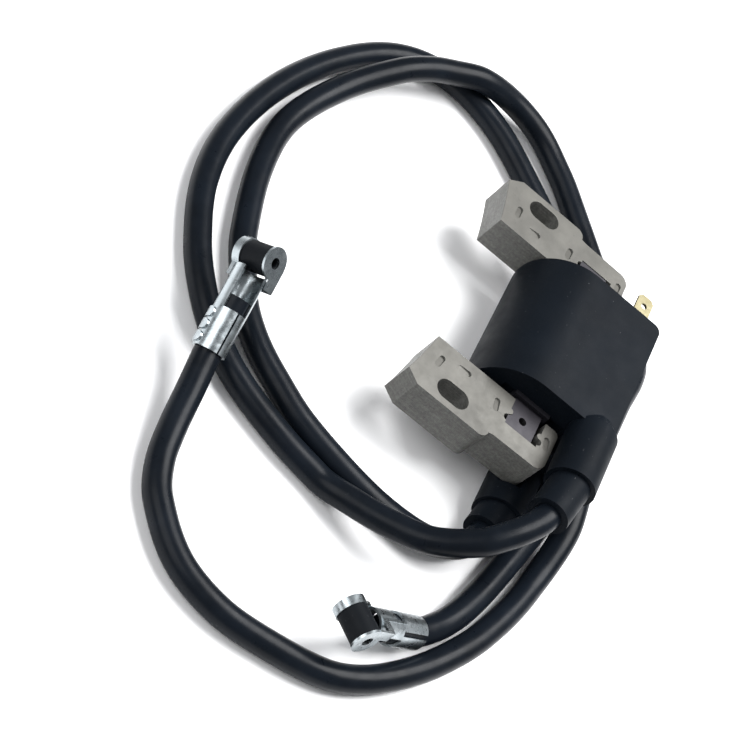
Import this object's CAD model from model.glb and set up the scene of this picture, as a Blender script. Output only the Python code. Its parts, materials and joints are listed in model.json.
"""Looks for the two-tower ignition coil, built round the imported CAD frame. Metres, row frame:
+X towards the lead towers, +Y away from the flywheel, +Z up, origin between the mounting slots."""
import json
from math import cos, pi, radians, sin

import bmesh
import bpy
from mathutils import Matrix, Vector

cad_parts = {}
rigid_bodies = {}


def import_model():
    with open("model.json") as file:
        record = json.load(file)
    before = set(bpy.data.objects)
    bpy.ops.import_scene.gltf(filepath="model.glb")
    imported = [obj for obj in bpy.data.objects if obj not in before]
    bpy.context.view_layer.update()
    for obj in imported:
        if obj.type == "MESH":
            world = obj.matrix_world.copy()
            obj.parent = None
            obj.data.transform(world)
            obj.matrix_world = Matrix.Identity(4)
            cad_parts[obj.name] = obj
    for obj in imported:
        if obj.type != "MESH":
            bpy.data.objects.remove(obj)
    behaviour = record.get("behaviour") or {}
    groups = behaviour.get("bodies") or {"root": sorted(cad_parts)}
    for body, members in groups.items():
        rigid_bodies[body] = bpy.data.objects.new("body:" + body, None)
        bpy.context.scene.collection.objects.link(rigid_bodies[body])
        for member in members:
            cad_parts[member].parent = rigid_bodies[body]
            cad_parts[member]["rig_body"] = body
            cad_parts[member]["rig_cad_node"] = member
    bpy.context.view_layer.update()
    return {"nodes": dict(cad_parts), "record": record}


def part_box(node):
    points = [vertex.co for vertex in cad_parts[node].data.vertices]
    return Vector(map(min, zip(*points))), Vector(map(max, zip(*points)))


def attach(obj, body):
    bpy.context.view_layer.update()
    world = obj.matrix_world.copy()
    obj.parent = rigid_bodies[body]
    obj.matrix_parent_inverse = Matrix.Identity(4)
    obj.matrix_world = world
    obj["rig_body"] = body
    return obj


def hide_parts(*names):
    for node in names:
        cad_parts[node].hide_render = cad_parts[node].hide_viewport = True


MM = 0.001
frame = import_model()
case_low, case_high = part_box("coil_case")
FLOOR_Z = case_low.z
LEAD_R = 3.5
REST_Z = LEAD_R + FLOOR_Z / MM


# ---------------------------------------------------------------- camera
def make_camera():
    """A long lens, turned about its own axis as the photograph's is."""
    forward = Vector((-0.6574, 0.1983, -0.7269)).normalized()
    right = Vector((-0.3631, 0.7619, 0.5363))
    right = (right - right.dot(forward) * forward).normalized()
    up = right.cross(forward)
    place = Matrix((right, up, -forward)).transposed().to_4x4()
    place.translation = Vector((385.6, -121.7, 386.4)) * MM
    data = bpy.data.cameras.new("camera")
    data.lens = 105.6
    data.sensor_width = 36
    data.clip_start = 0.01
    camera = bpy.data.objects.new("camera", data)
    camera.matrix_world = place
    bpy.context.scene.collection.objects.link(camera)
    bpy.context.scene.camera = camera
    return camera


# ---------------------------------------------------------------- node helpers
class Graph:
    """Short hand for building one material's nodes."""

    def __init__(self, name):
        self.material = bpy.data.materials.new(name)
        self.material.use_nodes = True
        self.tree = self.material.node_tree
        self.shader = next(n for n in self.tree.nodes if n.type == "BSDF_PRINCIPLED")
        self.place = self.add("ShaderNodeTexCoord").outputs["Object"]

    def add(self, kind, **values):
        node = self.tree.nodes.new(kind)
        for key, value in values.items():
            setattr(node, key, value)
        return node

    def join(self, source, target):
        self.tree.links.new(source, target)

    def put(self, socket, value):
        self.shader.inputs[socket].default_value = value

    def stretched(self, scale):
        node = self.add("ShaderNodeMapping")
        node.inputs["Scale"].default_value = scale
        self.join(self.place, node.inputs["Vector"])
        return node.outputs["Vector"]

    def noise(self, scale, detail=3.0, rough=0.6, vector=None):
        node = self.add("ShaderNodeTexNoise")
        node.inputs["Scale"].default_value = scale
        node.inputs["Detail"].default_value = detail
        node.inputs["Roughness"].default_value = rough
        self.join(vector or self.place, node.inputs["Vector"])
        return node.outputs["Fac"]

    def span(self, value, low, high, to_low, to_high):
        node = self.add("ShaderNodeMapRange")
        for key, number in (("From Min", low), ("From Max", high), ("To Min", to_low), ("To Max", to_high)):
            node.inputs[key].default_value = number
        self.join(value, node.inputs["Value"])
        return node.outputs["Result"]

    def math(self, kind, first, second=None):
        node = self.add("ShaderNodeMath", operation=kind)
        for socket, value in zip(node.inputs, (first, second)):
            if value is None:
                continue
            if isinstance(value, (int, float)):
                socket.default_value = value
            else:
                self.join(value, socket)
        return node.outputs["Value"]

    def mix(self, factor, low, high):
        node = self.add("ShaderNodeMix", data_type="RGBA")
        self.join(factor, node.inputs["Factor"])
        for socket, value in ((node.inputs[6], low), (node.inputs[7], high)):
            if isinstance(value, tuple):
                socket.default_value = (*value, 1)
            else:
                self.join(value, socket)
        return node.outputs[2]

    def colour(self, output):
        self.join(output, self.shader.inputs["Base Color"])

    def rough(self, output):
        self.join(output, self.shader.inputs["Roughness"])

    def bump(self, height, distance, strength=1.0, after=None):
        node = self.add("ShaderNodeBump")
        node.inputs["Distance"].default_value = distance
        node.inputs["Strength"].default_value = strength
        self.join(height, node.inputs["Height"])
        if after is not None:
            self.join(after, node.inputs["Normal"])
        self.join(node.outputs["Normal"], self.shader.inputs["Normal"])
        return node.outputs["Normal"]

    def axis(self, output, index):
        node = self.add("ShaderNodeSeparateXYZ")
        self.join(output, node.inputs["Vector"])
        return node.outputs[index]


# ---------------------------------------------------------------- materials
def lamination_steel(name, face, edge, stack_pitch):
    """Sheared sheets: smooth satin tops, and rough sides that show the sheet edges as fine lines."""
    g = Graph(name)
    g.put("Metallic", 0.35)
    top = g.math("ABSOLUTE", g.axis(g.add("ShaderNodeNewGeometry").outputs["True Normal"], 2))
    is_top = g.span(top, 0.75, 0.9, 0, 1)
    layer = g.math("MULTIPLY", g.axis(g.place, 2), 1 / stack_pitch)
    tooth = g.math("ABSOLUTE", g.math("SUBTRACT", g.math("FRACT", layer), 0.5))
    gap = g.span(tooth, 0.36, 0.48, 0, 1)
    sheet = g.add("ShaderNodeTexWhiteNoise", noise_dimensions="1D")
    g.join(g.math("FLOOR", layer), sheet.inputs["W"])
    grain = g.noise(1400, 6, 0.75)
    cloud = g.noise(90, 4, 0.55)
    side = g.mix(g.span(grain, 0.35, 0.65, 0, 1), tuple(0.7 * c for c in edge), tuple(1.4 * c for c in edge))
    side = g.mix(g.math("MULTIPLY", sheet.outputs["Value"], 0.3), side, tuple(0.5 * c for c in edge))
    side = g.mix(g.math("MULTIPLY", gap, 0.4), side, tuple(0.2 * c for c in edge))
    flat = g.mix(g.span(cloud, 0.35, 0.65, 0, 1), tuple(1.15 * c for c in face), tuple(0.78 * c for c in face))
    speck = g.span(g.noise(700, 3, 0.6), 0.64, 0.74, 0, 0.5)
    flat = g.mix(speck, flat, tuple(0.55 * c for c in face))
    g.colour(g.mix(is_top, side, flat))
    g.rough(g.span(g.noise(400, 4), 0.3, 0.7, 0.42, 0.6))
    fine = g.bump(g.noise(2600, 3, 0.6), 0.00002, 0.4)
    rugged = g.math("MULTIPLY", g.math("SUBTRACT", g.math("MULTIPLY", grain, 0.6), gap),
                    g.math("SUBTRACT", 1, is_top))
    g.bump(rugged, 0.00008, 0.6, fine)
    return g.material


def moulded_plastic(name, base, rough, speck):
    """Dark moulded plastic: spark-eroded grain, cloudy shade and a few pale dust specks."""
    g = Graph(name)
    g.put("Specular IOR Level", 0.07)
    cloud = g.noise(45, 4, 0.6)
    shade = g.mix(g.span(cloud, 0.3, 0.7, 0, 1), base, tuple(1.5 * c for c in base))
    dust = g.span(g.noise(1500, 2, 0.5), 0.74, 0.8, 0, speck)
    g.colour(g.mix(dust, shade, (0.22, 0.23, 0.24)))
    g.rough(g.span(g.noise(160, 3), 0.3, 0.7, rough - 0.06, rough + 0.08))
    swell = g.bump(g.noise(140, 2), 0.0002, 0.25)
    g.bump(g.noise(2400, 4, 0.65), 0.00005, 0.55, swell)
    return g.material


def lead_rubber(name, base):
    """Extruded rubber sheath with a soft sheen, faint scuffs and drag marks."""
    g = Graph(name)
    g.put("Specular IOR Level", 0.1)
    cloud = g.noise(70, 4, 0.6)
    shade = g.mix(g.span(cloud, 0.35, 0.7, 0, 1), base, tuple(1.7 * c for c in base))
    scuff = g.span(g.noise(420, 5, 0.75), 0.66, 0.8, 0, 0.35)
    g.colour(g.mix(scuff, shade, (0.05, 0.055, 0.06)))
    g.rough(g.span(g.noise(220, 4), 0.3, 0.7, 0.26, 0.38))
    ripple = g.bump(g.noise(110, 2), 0.0003, 0.3)
    g.bump(g.noise(1800, 3), 0.00003, 0.4, ripple)
    return g.material


def plated_metal(name, bright, dull, rough):
    """Zinc or tin plate over pressed sheet: small dents, drawn streaks and dull patches."""
    g = Graph(name)
    g.put("Metallic", 1.0)
    patch = g.noise(240, 4, 0.6)
    g.colour(g.mix(g.span(patch, 0.4, 0.75, 0, 1), bright, dull))
    g.rough(g.span(g.noise(500, 4, 0.7), 0.3, 0.7, rough - 0.06, rough + 0.12))
    dent = g.bump(g.noise(260, 2), 0.00025, 0.35)
    g.bump(g.noise(3000, 2), 0.00001, 0.4, dent)
    return g.material


def wound_wire(name, base, axis):
    """Enamelled turns, as fine rounded ridges across the winding's axis."""
    g = Graph(name)
    g.put("Metallic", 0.6)
    turn = g.math("SINE", g.math("MULTIPLY", g.axis(g.place, axis), 2 * pi / 0.0005))
    g.colour(g.mix(g.span(turn, -1, 1, 0, 1), tuple(0.45 * c for c in base), base))
    g.rough(g.span(g.noise(300, 3), 0.3, 0.7, 0.28, 0.42))
    g.bump(turn, 0.00012, 0.7)
    return g.material


def board_laminate(name, base):
    """Circuit board with copper tracks under green mask."""
    g = Graph(name)
    cells = g.add("ShaderNodeTexVoronoi", feature="DISTANCE_TO_EDGE")
    cells.inputs["Scale"].default_value = 350
    g.join(g.place, cells.inputs["Vector"])
    track = g.span(cells.outputs["Distance"], 0.08, 0.12, 1, 0)
    g.colour(g.mix(track, base, tuple(1.8 * c for c in base)))
    g.rough(g.span(g.noise(300), 0.3, 0.7, 0.3, 0.45))
    g.bump(track, 0.00004, 0.6)
    return g.material


def cast_resin(name, base):
    """Poured epoxy: smooth, slightly wavy, with a few bubbles."""
    g = Graph(name)
    g.colour(g.mix(g.span(g.noise(90, 4), 0.35, 0.7, 0, 1), base, tuple(1.6 * c for c in base)))
    g.rough(g.span(g.noise(120), 0.3, 0.7, 0.22, 0.4))
    wave = g.bump(g.noise(60, 2), 0.0006, 0.5)
    g.bump(g.span(g.noise(900, 2), 0.7, 0.78, 0, -1), 0.0002, 0.6, wave)
    return g.material


def pale_floor(name):
    g = Graph(name)
    g.colour(g.mix(g.span(g.noise(8), 0.3, 0.7, 0, 1), (0.97, 0.97, 0.975), (0.955, 0.957, 0.965)))
    g.rough(g.span(g.noise(40), 0.3, 0.7, 0.5, 0.62))
    return g.material


SHEET_PITCH = 0.5 * MM
FINISH = {
    "lamination_steel": lamination_steel("lamination_steel", (0.098, 0.095, 0.085), (0.14, 0.14, 0.13), SHEET_PITCH),
    "yoke_steel": lamination_steel("yoke_steel", (0.02, 0.018, 0.024), (0.02, 0.02, 0.022), SHEET_PITCH),
    "case_plastic": moulded_plastic("case_plastic", (0.003, 0.0045, 0.0068), 0.5, 0.3),
    "potting_resin": cast_resin("potting_resin", (0.02, 0.021, 0.024)),
    "bobbin_plastic": moulded_plastic("bobbin_plastic", (0.008, 0.008, 0.01), 0.45, 0.2),
    "enamelled_wire": wound_wire("enamelled_wire", (0.5, 0.17, 0.05), 0),
    "board_laminate": board_laminate("board_laminate", (0.02, 0.12, 0.045)),
    "component_plastic": moulded_plastic("component_plastic", (0.015, 0.015, 0.016), 0.35, 0.1),
    "resistor_body": moulded_plastic("resistor_body", (0.5, 0.36, 0.2), 0.4, 0.1),
    "plated_brass": plated_metal("plated_brass", (0.26, 0.235, 0.15), (0.2, 0.175, 0.1), 0.42),
    "contact_brass": plated_metal("contact_brass", (0.8, 0.6, 0.28), (0.6, 0.42, 0.18), 0.3),
    "lead_rubber": lead_rubber("lead_rubber", (0.0035, 0.005, 0.0075)),
    "zinc_plated_steel": plated_metal("zinc_plated_steel", (0.42, 0.46, 0.48), (0.3, 0.34, 0.36), 0.26),
    "insert_plastic": moulded_plastic("insert_plastic", (0.005, 0.006, 0.0075), 0.5, 0.2),
}


def finish_of(node):
    entry = next(s for s in frame["record"]["subparts"] if s["node"] == node)
    return entry["material_slot"]


def paint(piece, slot):
    piece.data.materials.clear()
    piece.data.materials.append(FINISH[slot])
    return piece


# ---------------------------------------------------------------- leads
COLLAR_DIR = Vector((cos(radians(10)), -sin(radians(10)), 0))
BORE_DEPTH = 13
LEAD_END = 14
UPPER_MOUTH = Vector((50.2, 33.4, 15.2))
LOWER_MOUTH = Vector((50.2, 27.7, -4.4))
UPPER_CLIP = (Vector((86, 23.2, -6)), (-47.5, 25))
LOWER_CLIP = (Vector((62.6, -53.8, -0.5)), (-170, 30))


def clip_dir(turn):
    heading, pitch = radians(turn[0]), radians(turn[1])
    return Vector((cos(pitch) * cos(heading), cos(pitch) * sin(heading), sin(pitch)))


def flat(points):
    """Points of a stretch that lies on the floor."""
    return [(x, y, REST_Z) for x, y in points]


def route(mouth, points, clip):
    start, turn = clip
    ends = [start, start + LEAD_END * clip_dir(turn)]
    return [mouth - BORE_DEPTH * COLLAR_DIR, mouth] + [Vector(p) for p in points] + ends


UPPER_ROUTE = route(
    UPPER_MOUTH,
    [(55.5, 31, 14), (61, 27, 12), (65, 23, 9.5), (69, 14, 4), (69, 5, -0.5), (67.8, -5.5, -4.5)]
    + flat([(66, -15), (63.4, -27.5), (58.2, -42.5), (52.5, -52), (43, -61.5), (32, -69),
            (15, -76), (-4, -78), (-28, -74), (-50.5, -64.5), (-67, -51.5), (-73.5, -36),
            (-70.5, -18.5), (-60, -1), (-50.5, 11.5), (-41, 23.5), (-32, 35.2), (-21.5, 42.8),
            (-8, 43.6), (7, 43.6), (20, 43.4), (34, 41.6), (50, 38), (60.5, 35.6), (69.5, 33),
            (76, 30.3)])
    + [(81.8, 26.7, -7)],
    UPPER_CLIP)
LOWER_ROUTE = route(
    LOWER_MOUTH,
    [(54.8, 26, -4.8), (58.8, 22, -5.6), (60.9, 16.5, -6.5), (61.5, 9, -7.2)]
    + flat([(61, -1), (59, -12.5), (55.6, -25), (51.3, -34), (46, -43), (39, -50.5),
            (30, -56), (19.5, -61), (-1.5, -66.5)])
    + [(-20, -67, -7.3), (-39.5, -60.5, -5), (-55, -50.5, -0.8), (-62.5, -44, 0), (-68, -37.5, 0),
       (-73.3, -29.5, 0.1), (-78.6, -18, -3.6), (-78.8, -6.5, -6.4)]
    + flat([(-72.5, 4.5), (-62, 15.5), (-52, 25.5)])
    + [(-44, 34, -7), (-35.5, 43, -5.6), (-24, 45.9, -1.2), (-9, 45, -0.3), (8, 44.8, -0.4),
       (22, 45, -0.4), (35, 47.2, -2.8)]
    + flat([(54, 45.6), (73, 39.9), (86, 33.2), (96, 26), (104, 18), (109.3, 9), (112.5, -7),
            (113, -20.5), (109, -33.5), (99, -44.5)])
    + [(91, -48.5, -7.2), (82, -50.5, -5.9), (72.5, -52, -3.6)],
    LOWER_CLIP)


def make_lead(name, points, node):
    data = bpy.data.curves.new(name, "CURVE")
    data.dimensions = "3D"
    data.resolution_u = 10
    data.bevel_depth = LEAD_R * MM
    data.bevel_resolution = 6
    data.use_fill_caps = True
    spline = data.splines.new("BEZIER")
    spline.bezier_points.add(len(points) - 1)
    for i, (place, knot) in enumerate(zip(points, spline.bezier_points)):
        before, after = points[max(i - 1, 0)], points[min(i + 1, len(points) - 1)]
        along = (after - before).normalized()
        if abs(place.z - REST_Z) < 0.01:
            along.z = 0      # a knot on the floor stays level, so the lead doesn't dip into it
        knot.co = place * MM
        knot.handle_left_type = knot.handle_right_type = "FREE"
        knot.handle_left = (place - along * (place - before).length / 3) * MM
        knot.handle_right = (place + along * (after - place).length / 3) * MM
    lead = bpy.data.objects.new(name, data)
    bpy.context.scene.collection.objects.link(lead)
    paint(lead, "lead_rubber")
    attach(lead, "root")
    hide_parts(node)
    return lead


# ---------------------------------------------------------------- rigid pieces
def softened(node, width, steps=2, angle=35):
    """A copy of a CAD node with its sharp edges rounded, which stands for it."""
    piece = frame["nodes"][node].copy()
    piece.data = piece.data.copy()
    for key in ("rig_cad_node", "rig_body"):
        if key in piece:
            del piece[key]
    piece.name = node + "_shape"
    bpy.context.scene.collection.objects.link(piece)
    mesh = bmesh.new()
    mesh.from_mesh(piece.data)
    bmesh.ops.remove_doubles(mesh, verts=mesh.verts, dist=1e-6)
    bmesh.ops.dissolve_limit(mesh, angle_limit=radians(0.5), verts=mesh.verts, edges=mesh.edges)
    for face in mesh.faces:
        face.smooth = True
    mesh.to_mesh(piece.data)
    mesh.free()
    piece.data.set_sharp_from_angle(angle=radians(angle))
    bevel = piece.modifiers.new("round", "BEVEL")
    bevel.width = width
    bevel.segments = steps
    bevel.limit_method = "ANGLE"
    bevel.angle_limit = radians(angle)
    bevel.harden_normals = False
    weight = piece.modifiers.new("even", "WEIGHTED_NORMAL")
    weight.keep_sharp = False
    weight.weight = 100
    paint(piece, finish_of(node))
    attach(piece, "root")
    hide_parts(node)
    return piece


def paint_nodes():
    for name, node in frame["nodes"].items():
        paint(node, finish_of(name))


# ---------------------------------------------------------------- stage
def area_light(name, place, aim, size, power, colour=(1, 1, 1)):
    data = bpy.data.lights.new(name, "AREA")
    data.shape = "RECTANGLE"
    data.size, data.size_y = size
    data.energy = power
    data.color = colour
    lamp = bpy.data.objects.new(name, data)
    lamp.location = place
    lamp.rotation_euler = (Vector(aim) - Vector(place)).to_track_quat("-Z", "Y").to_euler()
    bpy.context.scene.collection.objects.link(lamp)
    return lamp


def make_stage():
    bpy.ops.mesh.primitive_plane_add(size=6, location=(0, 0, FLOOR_Z))
    floor = bpy.context.active_object
    floor.name = "floor"
    floor.data.materials.append(pale_floor("floor"))
    world = bpy.data.worlds.new("studio")
    world.use_nodes = True
    world.node_tree.nodes["Background"].inputs["Color"].default_value = (0.95, 0.97, 1, 1)
    world.node_tree.nodes["Background"].inputs["Strength"].default_value = 0.3
    bpy.context.scene.world = world
    area_light("key", (-0.3, 0.38, 0.95), (0, 0, 0), (0.75, 0.75), 26)
    area_light("fill", (0.5, -0.7, 0.7), (0, 0, 0), (0.8, 0.8), 7)
    bpy.context.scene.view_settings.view_transform = "Standard"


camera = make_camera()
paint_nodes()
make_lead("lead_upper_sheath", UPPER_ROUTE, "lead_upper")
make_lead("lead_lower_sheath", LOWER_ROUTE, "lead_lower")
softened("coil_case", 0.5 * MM, 3)
softened("tower_side_leg", 0.15 * MM)
softened("tab_side_leg", 0.15 * MM)
make_stage()
